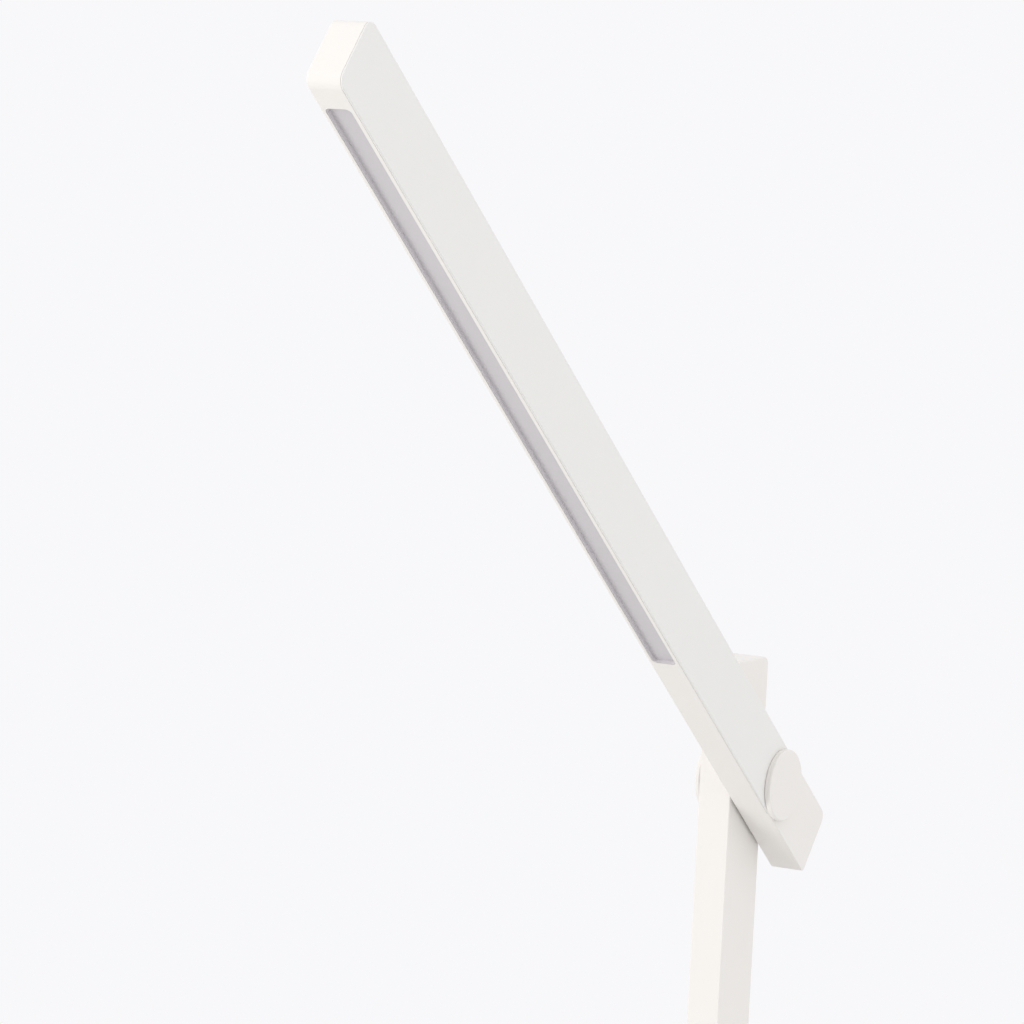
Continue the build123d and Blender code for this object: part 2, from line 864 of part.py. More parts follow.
def make_switch_housings():
    """Body of one switch below each button, hollow for its plunger."""
    housings = []
    for x, _ in BUTTONS.values():
        half = switch_side / 2
        body = block(x - half, x + half, button_y - half, button_y + half, control_board_top, switch_top)
        bore = plunger_diameter / 2 + running_clearance
        bore_bottom = plunger_bottom - button_travel - slip_clearance
        housings.append(body - rod_z(bore, bore_bottom, switch_top, x, button_y))
    return housings


def make_plunger(x):
    """Plunger that a button presses into its switch."""
    return rod_z(plunger_diameter / 2, plunger_bottom, plunger_top, x, button_y)


def make_button(x, diameter):
    """Push button held under the cover by its flange."""
    crown = rod_z(diameter / 2, base_ceiling, base_top + button_rise, x, button_y)
    crown = fillet(crown.edges().group_by(Axis.Z)[-1], button_round)
    flange_bottom = base_ceiling - button_flange_thickness
    flange = rod_z(diameter / 2 + button_flange, flange_bottom, base_ceiling, x, button_y)
    stem = rod_z(button_stem_diameter / 2, plunger_top, base_ceiling, x, button_y)
    return crown + flange + stem


def make_driver_chip():
    """Chip that drives the light."""
    half = chip_side / 2
    top = control_board_top + driver_chip_height
    return block(-half, half, components_y - half, components_y + half, control_board_top, top)


def make_inductor():
    """Round power inductor."""
    top = control_board_top + inductor_height
    return rod_z(inductor_diameter / 2, control_board_top, top, components_pitch, components_y)


def make_capacitor():
    """Round smoothing capacitor."""
    top = control_board_top + capacitor_height
    return rod_z(capacitor_diameter / 2, control_board_top, top, -components_pitch, components_y)


def make_board_connectors():
    """Sockets for the lamp lead and the supply lead."""
    connectors = []
    for x in (-connector_x, connector_x):
        half = connector_width / 2
        front = control_board_rear - connector_length
        top = control_board_top + connector_height
        connectors.append(block(x - half, x + half, front, control_board_rear, control_board_top, top))
    return connectors


# ---------------------------------------------------------------- supply inlet
def make_power_jack():
    """Barrel socket behind the rear wall."""
    half = jack_width / 2
    top = plate_bottom + jack_height
    body = block(jack_x - half, jack_x + half, jack_front, jack_rear, plate_bottom, top)
    body += rod_y(jack_nose_diameter / 2, jack_rear, base_rear, jack_x, jack_z)
    return body - rod_y(jack_bore / 2, base_rear - jack_bore_depth, base_rear, jack_x, jack_z)


def make_jack_pin():
    """Centre contact of the socket."""
    start = base_rear - jack_bore_depth
    return rod_y(jack_pin_diameter / 2, start, base_rear - jack_pin_recess, jack_x, jack_z)


def make_supply_lead():
    """Lead from the inlet to the control board."""
    board_z = control_board_top + connector_height / 2
    low_z = plate_top + supply_lead_diameter
    points = [
        (jack_x, jack_front, low_z),
        (jack_x, jack_front - supply_lead_bend_radius, low_z),
        (connector_x, control_board_rear + supply_lead_bend_radius, board_z),
        (connector_x, control_board_rear, board_z),
    ]
    return lead(supply_lead_diameter, points, [supply_lead_bend_radius, supply_lead_bend_radius])


# ---------------------------------------------------------------- assembly
def build_head():
    """Pieces that turn with the head, in the head's level frame."""
    bar = head_bar()
    return {
        "head_shell": make_head_shell(bar),
        "head_side_cover": make_head_side_cover(bar),
        "head_cap": hinge_cap(outer_bar_far, outer_cap_thickness),
        "head_bush": hinge_bush(),
        "diffuser": make_diffuser(),
        "reflector_frame": make_reflector_frame(),
        "led_board": make_led_board(),
        "led_chips": make_led_chips(),
        "heat_sink": make_heat_sink(),
        "heat_sink_screws": make_heat_sink_screws(),
        "led_connector": make_led_connector(),
        "head_lead": make_head_lead(),
    }


def build_post():
    """Pieces that turn with the post, in the post's upright frame."""
    bar = post_bar()
    upper = {
        "head_axle": hinge_axle(-1),
        "head_friction_washer": hinge_friction_washer(),
        "head_pressure_washer": hinge_pressure_washer(),
        "head_spring_washers": hinge_spring_washers(),
        "head_nut": hinge_nut(),
        "post_cap": mirrored(hinge_cap(half_width, post_cap_thickness)),
    }
    lower = {
        "foot_axle": hinge_axle(1),
        "foot_friction_washer": hinge_friction_washer(),
        "foot_pressure_washer": hinge_pressure_washer(),
        "foot_spring_washers": hinge_spring_washers(),
        "foot_nut": hinge_nut(),
        "foot_cap": mirrored(hinge_cap(half_width, post_cap_thickness)),
    }
    pieces = {name: placed(in_post_top, shape) for name, shape in upper.items()}
    for name, shape in lower.items():
        solids = shape if isinstance(shape, list) else [shape]
        turned = [mirrored(solid) for solid in solids]
        pieces[name] = turned if isinstance(shape, list) else turned[0]
    pieces["post_tube"] = make_post_tube(bar)
    pieces["post_top_cap"] = make_post_top_cap(bar)
    pieces["post_head_insert"] = make_post_head_insert()
    pieces["post_foot_insert"] = make_post_foot_insert(bar)
    pieces["post_lead"] = make_post_lead()
    return pieces


def build_stem():
    """Pieces of the fixed stem, in a frame about the lower axle."""
    bar = stem_bar()
    pieces = {
        "stem_body": mirrored(make_stem_body(bar)),
        "stem_side_cover": mirrored(make_stem_side_cover(bar)),
        "stem_cap": mirrored(hinge_cap(outer_bar_far, outer_cap_thickness)),
        "foot_bush": mirrored(hinge_bush()),
        "stem_screws": [mirrored(screw) for screw in make_stem_screws()],
        "base_lead": make_base_lead(),
    }
    return pieces


def build_base():
    """Pieces of the base, in the lamp's own frame."""
    pieces = {
        "base_top_cover": make_base_top_cover(),
        "base_bottom_cover": make_base_bottom_cover(),
        "rubber_feet": make_rubber_feet(),
        "weight_plate": make_weight_plate(),
        "base_screws": make_base_screws(),
        "control_board": make_control_board(),
        "board_screws": make_board_screws(),
        "switch_housings": make_switch_housings(),
        "driver_chip": make_driver_chip(),
        "inductor": make_inductor(),
        "capacitor": make_capacitor(),
        "board_connectors": make_board_connectors(),
        "power_jack": make_power_jack(),
        "jack_pin": make_jack_pin(),
        "supply_lead": make_supply_lead(),
    }
    for name, (x, diameter) in BUTTONS.items():
        pieces[name] = make_button(x, diameter)
        pieces[name.replace("button", "plunger")] = make_plunger(x)
    return pieces


def placed(place, shape):
    """A piece, or a group of like pieces, moved to its place."""
    if isinstance(shape, list):
        return [place * solid for solid in shape]
    return place * shape


def write(pieces, place):
    """One STEP file for each piece."""
    for name, shape in pieces.items():
        moved = placed(place, shape)
        items = moved if isinstance(moved, list) else [moved]
        solids = [solid for item in items for solid in item.solids()]
        whole = solids[0] if len(solids) == 1 else Compound(children=solids)
        export_step(whole, f"parts/{name}.step")


os.makedirs("parts", exist_ok=True)
write(build_head(), head_place)
write(build_post(), post_place)
write(build_stem(), lower_axle)
write(build_base(), Location((0, 0, 0)))
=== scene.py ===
import json
from math import cos, pi, radians, sin

import bmesh
import bpy
from mathutils import Matrix, Vector


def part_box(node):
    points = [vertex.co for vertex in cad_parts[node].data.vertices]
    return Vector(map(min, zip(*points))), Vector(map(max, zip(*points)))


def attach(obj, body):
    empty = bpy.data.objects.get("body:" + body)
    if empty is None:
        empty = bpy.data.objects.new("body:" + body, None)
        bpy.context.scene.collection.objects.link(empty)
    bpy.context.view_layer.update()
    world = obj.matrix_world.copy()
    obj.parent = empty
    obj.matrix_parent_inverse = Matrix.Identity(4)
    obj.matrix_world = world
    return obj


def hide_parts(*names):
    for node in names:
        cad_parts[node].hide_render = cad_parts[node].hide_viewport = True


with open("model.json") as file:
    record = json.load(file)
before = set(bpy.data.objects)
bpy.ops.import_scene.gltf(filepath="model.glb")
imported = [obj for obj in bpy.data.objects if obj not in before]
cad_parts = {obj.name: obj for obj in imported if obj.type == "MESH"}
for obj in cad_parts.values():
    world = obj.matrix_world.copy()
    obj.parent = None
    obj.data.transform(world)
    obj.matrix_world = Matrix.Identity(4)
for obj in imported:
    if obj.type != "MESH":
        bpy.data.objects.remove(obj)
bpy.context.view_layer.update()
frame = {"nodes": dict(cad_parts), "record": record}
nodes = frame["nodes"]
scene = bpy.context.scene
MM = 0.001


# ---------------------------------------------------------------- camera
IMAGE_SIDE = 1024
SENSOR = 36.0
FOCAL_PX = 4507.66
CAMERA_YAW = 29.86
CAMERA_PITCH = 10.92
CAMERA_DISTANCE = 1.64237
HINGE_FACE = Vector((0.0202, 0.089022, 0.46063))
HINGE_PX = (780.41, 784.60)


def make_camera():
    """The photograph's viewpoint, from the pixel where the upper hinge shows."""
    yaw, pitch = radians(CAMERA_YAW), radians(CAMERA_PITCH)
    back = Vector((sin(yaw) * cos(pitch), -cos(yaw) * cos(pitch), sin(pitch)))
    right = Vector((0, 0, 1)).cross(back).normalized()
    up = back.cross(right)
    across = (HINGE_PX[0] - IMAGE_SIDE / 2) * CAMERA_DISTANCE / FOCAL_PX
    down = (HINGE_PX[1] - IMAGE_SIDE / 2) * CAMERA_DISTANCE / FOCAL_PX
    data = bpy.data.cameras.new("camera")
    data.sensor_width = SENSOR
    data.lens = FOCAL_PX * SENSOR / IMAGE_SIDE
    camera = bpy.data.objects.new("camera", data)
    camera.matrix_world = Matrix((right, up, back)).transposed().to_4x4()
    camera.location = HINGE_FACE - across * right + down * up + CAMERA_DISTANCE * back
    scene.collection.objects.link(camera)
    scene.camera = camera


# ---------------------------------------------------------------- stage and light
BACKDROP = (0.939, 0.939, 0.956, 1)
ROOM_COLOUR = (0.995, 1.0, 1.0, 1)
# Strength of the room's light from each side: +x, +y, +z and -x, -y, -z.
ROOM_AHEAD = (1.45, 0.59, 1.07)
ROOM_BEHIND = (1.19, 0.41, 1.07)
FLOOR_RADIUS = 3.0
FLOOR_CORNERS = 96
FLOOR_FADE = (0.45, 0.8)
FLOOR_COLOUR = (0.77, 0.77, 0.765, 1)
KEY_PLACE = (-0.9, -1.35, 0.95)
KEY_TARGET = (0, 0, 0.45)
KEY_SIZE = 0.9
KEY_POWER = 11.7
KEY_COLOUR = (1, 0.995, 0.982)


def new_tree(owner):
    """An empty node tree."""
    owner.use_nodes = True
    tree = owner.node_tree
    tree.nodes.clear()
    return tree


def node(tree, kind, **values):
    """A shader node with its settings and sockets."""
    made = tree.nodes.new(kind)
    for name, value in values.items():
        if hasattr(made, name):
            setattr(made, name, value)
        else:
            made.inputs[name.replace("_", " ")].default_value = value
    return made


def room_strength(tree):
    """Strength of the room's light in a direction, blended between the six sides."""
    link = tree.links.new
    towards = node(tree, "ShaderNodeTexCoord").outputs["Generated"]
    level = node(tree, "ShaderNodeMath", operation="ADD")
    for place, half, weights in ((0, "MAXIMUM", ROOM_AHEAD), (1, "MINIMUM", ROOM_BEHIND)):
        part = node(tree, "ShaderNodeVectorMath", operation=half)
        square = node(tree, "ShaderNodeVectorMath", operation="MULTIPLY")
        share = node(tree, "ShaderNodeVectorMath", operation="DOT_PRODUCT")
        share.inputs[1].default_value = weights
        link(towards, part.inputs[0])
        link(part.outputs[0], square.inputs[0])
        link(part.outputs[0], square.inputs[1])
        link(square.outputs[0], share.inputs[0])
        link(share.outputs["Value"], level.inputs[place])
    return level.outputs[0]


def make_world():
    """Soft studio light from all round; the camera sees the pale backdrop."""
    world = bpy.data.worlds.new("studio")
    scene.world = world
    tree = new_tree(world)
    link = tree.links.new
    rays = node(tree, "ShaderNodeLightPath")
    seen = node(tree, "ShaderNodeMath", operation="MAXIMUM")
    seen_too = node(tree, "ShaderNodeMath", operation="MAXIMUM")
    link(rays.outputs["Is Camera Ray"], seen.inputs[0])
    link(rays.outputs["Is Glossy Ray"], seen.inputs[1])
    link(seen.outputs[0], seen_too.inputs[0])
    link(rays.outputs["Is Transmission Ray"], seen_too.inputs[1])
    room = node(tree, "ShaderNodeBackground")
    room.inputs["Color"].default_value = ROOM_COLOUR
    link(room_strength(tree), room.inputs["Strength"])
    backdrop = node(tree, "ShaderNodeBackground", Strength=1.0)
    backdrop.inputs["Color"].default_value = BACKDROP
    mix = node(tree, "ShaderNodeMixShader")
    link(seen_too.outputs[0], mix.inputs[0])
    link(room.outputs[0], mix.inputs[1])
    link(backdrop.outputs[0], mix.inputs[2])
    out = node(tree, "ShaderNodeOutputWorld")
    link(mix.outputs[0], out.inputs["Surface"])


def floor_material():
    """Pale matte that turns clear away from the lamp, for the camera alone."""
    material = bpy.data.materials.new("floor")
    tree = new_tree(material)
    link = tree.links.new
    place = node(tree, "ShaderNodeTexCoord")
    flat = node(tree, "ShaderNodeVectorMath", operation="LENGTH")
    link(place.outputs["Object"], flat.inputs[0])
    fade = node(tree, "ShaderNodeMapRange", interpolation_type="SMOOTHSTEP")
    fade.inputs["From Min"].default_value = FLOOR_FADE[0]
    fade.inputs["From Max"].default_value = FLOOR_FADE[1]
    link(flat.outputs["Value"], fade.inputs["Value"])
    rays = node(tree, "ShaderNodeLightPath")
    faded = node(tree, "ShaderNodeMath", operation="MULTIPLY")
    link(fade.outputs[0], faded.inputs[0])
    link(rays.outputs["Is Camera Ray"], faded.inputs[1])
    matte = node(tree, "ShaderNodeBsdfDiffuse")
    matte.inputs["Color"].default_value = FLOOR_COLOUR
    clear = node(tree, "ShaderNodeBsdfTransparent")
    mix = node(tree, "ShaderNodeMixShader")
    link(faded.outputs[0], mix.inputs[0])
    link(matte.outputs[0], mix.inputs[1])
    link(clear.outputs[0], mix.inputs[2])
    out = node(tree, "ShaderNodeOutputMaterial")
    link(mix.outputs[0], out.inputs["Surface"])
    return material


def make_floor():
    """A pale disc that keeps the lamp's shadow and fades into the backdrop."""
    mesh = bpy.data.meshes.new("floor")
    shape = bmesh.new()
    bmesh.ops.create_circle(shape, cap_ends=True, radius=FLOOR_RADIUS, segments=FLOOR_CORNERS)
    shape.to_mesh(mesh)
    shape.free()
    floor = bpy.data.objects.new("floor", mesh)
    scene.collection.objects.link(floor)
    mesh.materials.append(floor_material())


def make_key():
    """A square softbox at the front left, unseen in reflections."""
    data = bpy.data.lights.new("key", "AREA")
    data.shape = "SQUARE"
    data.size = KEY_SIZE
    data.energy = KEY_POWER
    data.color = KEY_COLOUR
    key = bpy.data.objects.new("key", data)
    key.visible_glossy = False
    key.location = KEY_PLACE
    key.rotation_mode = "QUATERNION"
    key.rotation_quaternion = (Vector(KEY_TARGET) - Vector(KEY_PLACE)).to_track_quat("-Z", "Y")
    scene.collection.objects.link(key)


# ---------------------------------------------------------------- materials
FINE_DETAIL = {"Detail": 2.0, "Roughness": 0.6}
BROAD_DETAIL = {"Detail": 3.0, "Roughness": 0.55}
TURNED_STRETCH = (8.0, 0.4, 0.4)
CLOUD_SCALE = 35.0
GLOSS_SCALE = 260.0
GLOSS_SPREAD = 0.04


def add_layer(tree, place, total, kind, size, height):
    """One layer of relief, its grain size and height in mm, added to the layers before it."""
    link = tree.links.new
    scale = 1 / (size * MM)
    if kind == "cells":
        grain = node(tree, "ShaderNodeTexVoronoi", Scale=scale)
        value = grain.outputs["Distance"]
    else:
        grain = node(tree, "ShaderNodeTexNoise", Scale=scale, **FINE_DETAIL)
        value = grain.outputs["Fac"]
    if kind == "turned":
        stretch = node(tree, "ShaderNodeVectorMath", operation="MULTIPLY")
        stretch.inputs[1].default_value = TURNED_STRETCH
        link(place, stretch.inputs[0])
        place = stretch.outputs[0]
    link(place, grain.inputs["Vector"])
    added = node(tree, "ShaderNodeMath", operation="MULTIPLY_ADD")
    added.inputs[1].default_value = height
    added.inputs[2].default_value = 0.0
    link(value, added.inputs[0])
    if total:
        link(total, added.inputs[2])
    return added.outputs[0]


def finish(name, colour, rough, layers, tint=0.01, metallic=0.0):
    """A Principled surface with relief in real sizes, uneven gloss and slight colour variation."""
    material = bpy.data.materials.new(name)
    tree = new_tree(material)
    link = tree.links.new
    place = node(tree, "ShaderNodeTexCoord").outputs["Object"]
    surface = node(tree, "ShaderNodeBsdfPrincipled")
    surface.inputs["Metallic"].default_value = metallic
    clouds = node(tree, "ShaderNodeTexNoise", Scale=CLOUD_SCALE, **BROAD_DETAIL)
    link(place, clouds.inputs["Vector"])
    colours = node(tree, "ShaderNodeMix", data_type="RGBA")
    colours.inputs[6].default_value = (*[c * (1 - tint) for c in colour], 1)
    colours.inputs[7].default_value = (*[min(1.0, c * (1 + tint)) for c in colour], 1)
    link(clouds.outputs["Fac"], colours.inputs[0])
    link(colours.outputs[2], surface.inputs["Base Color"])
    total = None
    for layer in layers:
        total = add_layer(tree, place, total, *layer)
    gloss = node(tree, "ShaderNodeTexNoise", Scale=GLOSS_SCALE, **FINE_DETAIL)
    link(place, gloss.inputs["Vector"])
    sheen = node(tree, "ShaderNodeMapRange")
    sheen.inputs["To Min"].default_value = rough - GLOSS_SPREAD
    sheen.inputs["To Max"].default_value = rough + GLOSS_SPREAD
    link(gloss.outputs["Fac"], sheen.inputs["Value"])
    link(sheen.outputs[0], surface.inputs["Roughness"])
    relief = node(tree, "ShaderNodeBump", Strength=1.0, Distance=MM)
    link(total, relief.inputs["Height"])
    link(relief.outputs[0], surface.inputs["Normal"])
    out = node(tree, "ShaderNodeOutputMaterial")
    link(surface.outputs[0], out.inputs["Surface"])
    return material


WHITE = (0.83, 0.80, 0.775)
COVER_WHITE = (0.813, 0.801, 0.786)
# Relief: a list of layers, each with its kind, grain size in mm and height in mm.
SPARKED = [("noise", 0.45, 0.010), ("cells", 0.9, 0.004), ("noise", 14.0, 0.02)]
POWDER = [("noise", 1.7, 0.016), ("noise", 0.35, 0.004)]
CAST = [("noise", 1.1, 0.05), ("cells", 2.4, 0.03)]
SMOOTH = [("noise", 2.5, 0.004)]
TURNED = [("turned", 0.5, 0.008), ("noise", 1.2, 0.004)]
GRAINED = [("noise", 0.7, 0.03)]
TRACKED = [("cells", 3.0, 0.02)]
LIGHTLY_TRACKED = [("cells", 3.0, 0.01)]
SANDED = [("noise", 0.3, 0.006)]
# Name, colour, roughness, relief, then colour variation and metallic where they differ.
FINISHES = [
    ("head_moulding", WHITE, 0.50, SPARKED),
    ("cover_moulding", COVER_WHITE, 0.50, SPARKED),
    ("post_paint", WHITE, 0.46, POWDER),
    ("base_moulding", WHITE, 0.50, SPARKED),
    ("cap_plastic", WHITE, 0.42, SPARKED),
    ("button_plastic", (0.74, 0.74, 0.74), 0.38, SPARKED),
    ("symbol_print", (0.20, 0.20, 0.21), 0.45, SMOOTH, 0.06),
    ("diffuser_plastic", (0.585, 0.56, 0.582), 0.42, SMOOTH, 0.02),
    ("white_plastic", (0.86, 0.86, 0.85), 0.4, SMOOTH),
    ("nylon", (0.80, 0.78, 0.70), 0.45, SMOOTH, 0.03),
    ("casting", (0.62, 0.62, 0.63), 0.5, CAST, 0.04, 1.0),
    ("painted_casting", WHITE, 0.5, POWDER),
    ("bare_aluminium", (0.75, 0.75, 0.76), 0.38, TURNED, 0.03, 1.0),
    ("steel", (0.55, 0.55, 0.56), 0.33, TURNED, 0.06, 1.0),
    ("weight_steel", (0.20, 0.20, 0.21), 0.5, CAST, 0.10, 1.0),
    ("rubber", (0.035, 0.035, 0.035), 0.8, GRAINED, 0.15),
    ("board", (0.03, 0.16, 0.08), 0.3, TRACKED, 0.25),
    ("white_board", (0.85, 0.85, 0.83), 0.35, LIGHTLY_TRACKED, 0.02),
    ("chip_black", (0.03, 0.03, 0.03), 0.5, SANDED, 0.15),
    ("chip_yellow", (0.90, 0.72, 0.20), 0.35, SMOOTH, 0.05),
    ("lead_white", (0.78, 0.78, 0.77), 0.45, SMOOTH, 0.02),
    ("contact_brass", (0.75, 0.60, 0.28), 0.3, TURNED, 0.06, 1.0),
]
LOOKS = {row[0]: finish(*row) for row in FINISHES}
COVER = "head_side_cover"
# Painted light: the diffuser's rim walls are made this much paler, to lift the shade that falls in
# its recess.
RIM_PAINTED_LIGHT = 1.17


def paint_rim_light(piece, material):
    """Make the walls round a flat piece paler than its wide faces: painted light that lifts the
    shade falling on them.
    """
    tree = material.node_tree
    link = tree.links.new
    flat = max(piece.data.polygons, key=lambda face: face.area).normal
    facing = node(tree, "ShaderNodeVectorMath", operation="DOT_PRODUCT")
    facing.inputs[1].default_value = flat
    link(node(tree, "ShaderNodeTexCoord").outputs["Normal"], facing.inputs[0])
    flatness = node(tree, "ShaderNodeMath", operation="ABSOLUTE")
    link(facing.outputs["Value"], flatness.inputs[0])
    gain = node(tree, "ShaderNodeMapRange")
    gain.inputs["To Min"].default_value = RIM_PAINTED_LIGHT
    gain.inputs["To Max"].default_value = 1.0
    link(flatness.outputs[0], gain.inputs["Value"])
    paler = node(tree, "ShaderNodeVectorMath", operation="SCALE")
    link(gain.outputs[0], paler.inputs["Scale"])
    surface = next(each for each in tree.nodes if each.type == "BSDF_PRINCIPLED")
    colour = surface.inputs["Base Color"]
    # The base colour is scaled up on the walls: painted light, not the plastic's own colour.
    link(colour.links[0].from_socket, paler.inputs[0])
    link(paler.outputs[0], colour)


def dress():
    """Give each solid the look of its material slot."""
    slot_of = {row["node"]: row["material_slot"] for row in frame["record"]["subparts"]}
    for name, piece in nodes.items():
        look = "cover_moulding" if name == COVER else slot_of[name]
        piece.data.materials.clear()
        piece.data.materials.append(LOOKS[look])
    # Painted light on the diffuser's rim walls, lifting the shade in its recess.
    paint_rim_light(nodes["diffuser"], LOOKS["diffuser_plastic"])


# ---------------------------------------------------------------- building blocks
WELD = 1e-7


def add_piece(name, shape, body, look, stands_for=None):
    """Turn a finished bmesh into a piece that rides on a body."""
    bmesh.ops.remove_doubles(shape, verts=shape.verts, dist=WELD)
    bmesh.ops.recalc_face_normals(shape, faces=shape.faces)
    mesh = bpy.data.meshes.new(name)
    shape.to_mesh(mesh)
    shape.free()
    mesh.materials.append(LOOKS[look])
    piece = bpy.data.objects.new(name, mesh)
    scene.collection.objects.link(piece)
    if stands_for:
        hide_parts(stands_for)
    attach(piece, body)


def add_prism(shape, outline, low, high, soft):
    """Raise an anticlockwise outline from one height to another, with a softened upper rim."""
    count = len(outline)
    levels = []
    for z, inset in ((low, 0.0), (high - soft, 0.0), (high, soft)):
        ring = []
        for i in range(count):
            here = Vector(outline[i])
            before = (here - Vector(outline[i - 1])).normalized()
            after = (Vector(outline[(i + 1) % count]) - here).normalized()
            inward = Vector((-before.y - after.y, before.x + after.x)).normalized()
            at = here + inward * inset
            ring.append(shape.verts.new((at.x, at.y, z)))
        levels.append(ring)
    for lower, upper in zip(levels, levels[1:]):
        for i in range(count):
            j = (i + 1) % count
            shape.faces.new((lower[i], lower[j], upper[j], upper[i]))
    shape.faces.new(levels[-1])
    shape.faces.new(list(reversed(levels[0])))


def arc_band(x, y, inner, outer, start, end, steps=40):
    """Outline of part of a ring, anticlockwise, between two angles in degrees."""
    turns = [radians(start + (end - start) * i / steps) for i in range(steps + 1)]
    rim = [(x + outer * cos(a), y + outer * sin(a)) for a in turns]
    return rim + [(x + inner * cos(a), y + inner * sin(a)) for a in reversed(turns)]


def disc_outline(x, y, radius, start=0.0, end=360.0, steps=40):
    """Outline of a disc, or of the part of it between two angles in degrees."""
    whole = end - start >= 360.0
    turns = [radians(start + (end - start) * i / steps) for i in range(steps + (not whole))]
    return [(x + radius * cos(a), y + radius * sin(a)) for a in turns]


def bar_outline(x, y, angle, near, far, width):
    """Outline of a straight stroke that points away from (x, y)."""
    along = Vector((cos(radians(angle)), sin(radians(angle))))
    aside = Vector((-along.y, along.x)) * width / 2
    start, end = Vector((x, y)) + along * near, Vector((x, y)) + along * far
    return [tuple(p) for p in (start - aside, end - aside, end + aside, start + aside)]


def add_lathe(shape, x, y, profile, steps=64):
    """A closed form turned about a vertical line, from (radius, height) points."""
    turns = [2 * pi * i / steps for i in range(steps)]
    rings = []
    for radius, z in profile:
        if radius == 0:
            rings.append([shape.verts.new((x, y, z))])
            continue
        rings.append([shape.verts.new((x + radius * cos(a), y + radius * sin(a), z)) for a in turns])
    for lower, upper in zip(rings, rings[1:]):
        for i in range(steps):
            j = (i + 1) % steps
            around = [lower[i % len(lower)], lower[j % len(lower)]]
            around += [upper[j % len(upper)], upper[i % len(upper)]]
            unique = list(dict.fromkeys(around))
            if len(unique) > 2:
                shape.faces.new(unique)


# ---------------------------------------------------------------- button symbols
SYMBOL_HEIGHT = 0.12 * MM
SYMBOL_ROOT = 0.3 * MM
SYMBOL_SOFT = 0.04 * MM
POWER_RADIUS = 2.8 * MM
POWER_WIDTH = 0.5 * MM
POWER_ARC = (120, 420)
POWER_STROKE_ANGLE = 90
POWER_STROKE = (0.7 * MM, 3.7 * MM)
SUN_RADIUS = 1.15 * MM
SUN_RAYS = 8
SUN_RAY = (1.75 * MM, 2.75 * MM)
SUN_RAY_WIDTH = 0.4 * MM
TONE_RING = (1.95 * MM, 2.35 * MM)
TONE_HALF = 1.96 * MM
TONE_TURNS = ((90, 270), (270, 450))
TONE_STEPS = 24


def button_middle(name):
    """Middle of a button, seen from above."""
    low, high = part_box(name)
    return (low.x + high.x) / 2, (low.y + high.y) / 2


def make_symbol(name, button, outlines):
    """Raised symbol on a button's top."""
    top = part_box(button)[1].z
    shape = bmesh.new()
    for outline in outlines:
        add_prism(shape, outline, top - SYMBOL_ROOT, top + SYMBOL_HEIGHT, SYMBOL_SOFT)
    add_piece(name, shape, button, "symbol_print")


def make_power_symbol():
    """An open ring with a stroke in its gap."""
    x, y = button_middle("power_button")
    half = POWER_WIDTH / 2
    ring = arc_band(x, y, POWER_RADIUS - half, POWER_RADIUS + half, *POWER_ARC)
    stroke = bar_outline(x, y, POWER_STROKE_ANGLE, *POWER_STROKE, POWER_WIDTH)
    make_symbol("power_symbol", "power_button", [ring, stroke])


def make_dimmer_symbol():
    """A sun, for brightness."""
    x, y = button_middle("dimmer_button")
    sun = [disc_outline(x, y, SUN_RADIUS)]
    for i in range(SUN_RAYS):
        sun.append(bar_outline(x, y, 360 / SUN_RAYS * i, *SUN_RAY, SUN_RAY_WIDTH))
    make_symbol("dimmer_symbol", "dimmer_button", sun)


def make_colour_symbol():
    """A half-filled circle, for warm and cold light."""
    x, y = button_middle("colour_button")
    disc = [arc_band(x, y, *TONE_RING, *turn, TONE_STEPS) for turn in TONE_TURNS]
    disc.append(disc_outline(x, y, TONE_HALF, *TONE_TURNS[0], TONE_STEPS))
    make_symbol("colour_symbol", "colour_button", disc)


# ---------------------------------------------------------------- feet and screws
FOOT_RADIUS = 6.0 * MM
FOOT_EDGE = 0.4 * MM
FOOT_EDGE_STEP = (0.12 * MM, 0.1 * MM)
RIB_COUNT = 5
RIB_PITCH = 0.9 * MM
RIB_START = 0.54 * MM
GROOVE_DEPTH = 0.35 * MM
GROOVE_SLOPE = 0.12 * MM
GROOVE_FLAT = 0.2 * MM
SCREW_HEAD = 2.8 * MM
SCREW_HEAD_HEIGHT = 1.5 * MM
SCREW_HEAD_EDGE = 0.3 * MM
SCREW_SHANK = 1.5 * MM
SCREW_CORE = 1.15 * MM
SCREW_STEPS = 96
THREAD_PITCH = 1.2 * MM
CROSS_ARM = 1.65 * MM
CROSS_WIDTH = 0.75 * MM
CROSS_DEPTH = 1.0 * MM
CROSS_STEEPNESS = 1.35
CROSS_RINGS = 21
CROSS_RING_STEP = 0.12 * MM


def corners(x, y):
    """The four places at a distance of (x, y) from the middle."""
    return [(-x, -y), (-x, y), (x, -y), (x, y)]


def make_feet():
    """Rubber feet with ring-shaped ridges on the sole."""
    low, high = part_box("rubber_feet")
    sole = [(0.0, low.z)]
    for i in range(RIB_COUNT):
        start = RIB_START + RIB_PITCH * i
        floor = start + GROOVE_SLOPE + GROOVE_FLAT
        sole += [(start, low.z), (start + GROOVE_SLOPE, low.z + GROOVE_DEPTH)]
        sole += [(floor, low.z + GROOVE_DEPTH), (floor + GROOVE_SLOPE, low.z)]
    sole.append((FOOT_RADIUS - FOOT_EDGE, low.z))
    sole.append((FOOT_RADIUS - FOOT_EDGE_STEP[0], low.z + FOOT_EDGE_STEP[1]))
    sole += [(FOOT_RADIUS, low.z + FOOT_EDGE), (FOOT_RADIUS, high.z), (0.0, high.z)]
    shape = bmesh.new()
    for at in corners(high.x - FOOT_RADIUS, high.y - FOOT_RADIUS) + [(0, 0)]:
        add_lathe(shape, *at, sole)
    add_piece("ribbed_feet", shape, "base", "rubber", "rubber_feet")


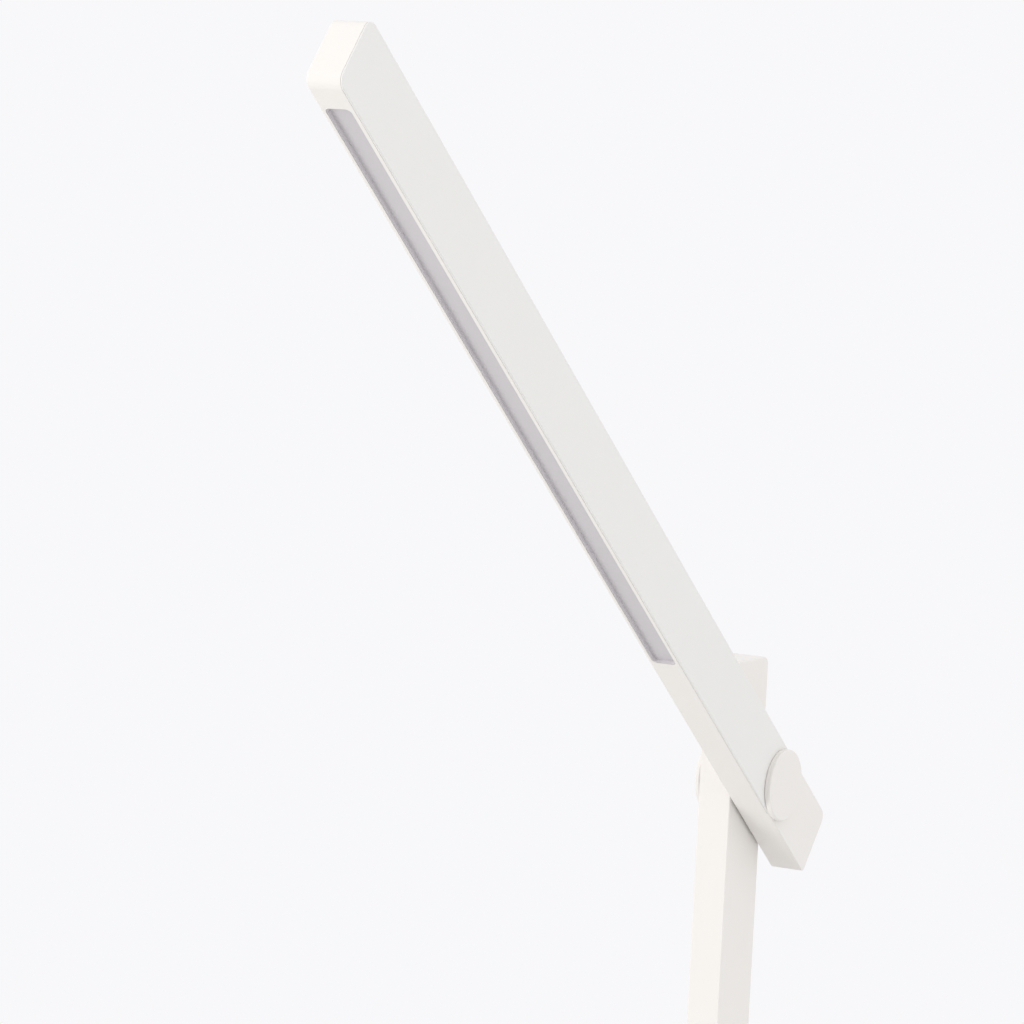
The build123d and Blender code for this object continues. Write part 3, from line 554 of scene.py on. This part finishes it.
def cross_depth(x, y):
    """Depth of the cross recess at a place on the screw's head."""
    deepest = 0.0
    for along, across in ((abs(x), abs(y)), (abs(y), abs(x))):
        if across < CROSS_WIDTH / 2 and along < CROSS_ARM:
            share = min(1.0, CROSS_STEEPNESS * (1 - along / CROSS_ARM))
            deepest = max(deepest, CROSS_DEPTH * share)
    return deepest


def add_cross_face(shape, x, y, bottom):
    """The inner part of a screw's head, with its cross recess."""
    hub = shape.verts.new((x, y, bottom + CROSS_DEPTH))
    inner = None
    for number in range(1, CROSS_RINGS + 1):
        ring = []
        for i in range(SCREW_STEPS):
            turn = 2 * pi * i / SCREW_STEPS
            u = CROSS_RING_STEP * number * cos(turn)
            v = CROSS_RING_STEP * number * sin(turn)
            ring.append(shape.verts.new((x + u, y + v, bottom + cross_depth(u, v))))
        for i in range(SCREW_STEPS):
            j = (i + 1) % SCREW_STEPS
            inside = (inner[j], inner[i]) if inner else (hub,)
            shape.faces.new((ring[i], ring[j], *inside))
        inner = ring


def screw_profile(bottom, top):
    """Rim of the head, thread and point of a screw, from (radius, height) points."""
    seat = bottom + SCREW_HEAD_HEIGHT
    profile = [(CROSS_RING_STEP * CROSS_RINGS, bottom), (SCREW_HEAD, bottom + SCREW_HEAD_EDGE)]
    profile += [(SCREW_HEAD, seat), (SCREW_CORE, seat)]
    point = top - SCREW_CORE
    z = seat
    while z + THREAD_PITCH < point:
        profile.append((SCREW_CORE, z + THREAD_PITCH / 4))
        profile.append((SCREW_SHANK, z + THREAD_PITCH / 2))
        profile.append((SCREW_CORE, z + THREAD_PITCH * 3 / 4))
        z += THREAD_PITCH
    return profile + [(SCREW_CORE, point), (0.0, top)]


def make_base_screws():
    """Screws with a cross recess, their heads below."""
    low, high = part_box("base_screws")
    shape = bmesh.new()
    for x, y in corners(high.x - SCREW_HEAD, high.y - SCREW_HEAD):
        add_cross_face(shape, x, y, low.z)
        add_lathe(shape, x, y, screw_profile(low.z, high.z), SCREW_STEPS)
    add_piece("cross_screws", shape, "base", "steel", "base_screws")


# ---------------------------------------------------------------- the scene
make_camera()
make_world()
make_floor()
make_key()
dress()
make_power_symbol()
make_dimmer_symbol()
make_colour_symbol()
make_feet()
make_base_screws()

scene.view_settings.view_transform = "Standard"
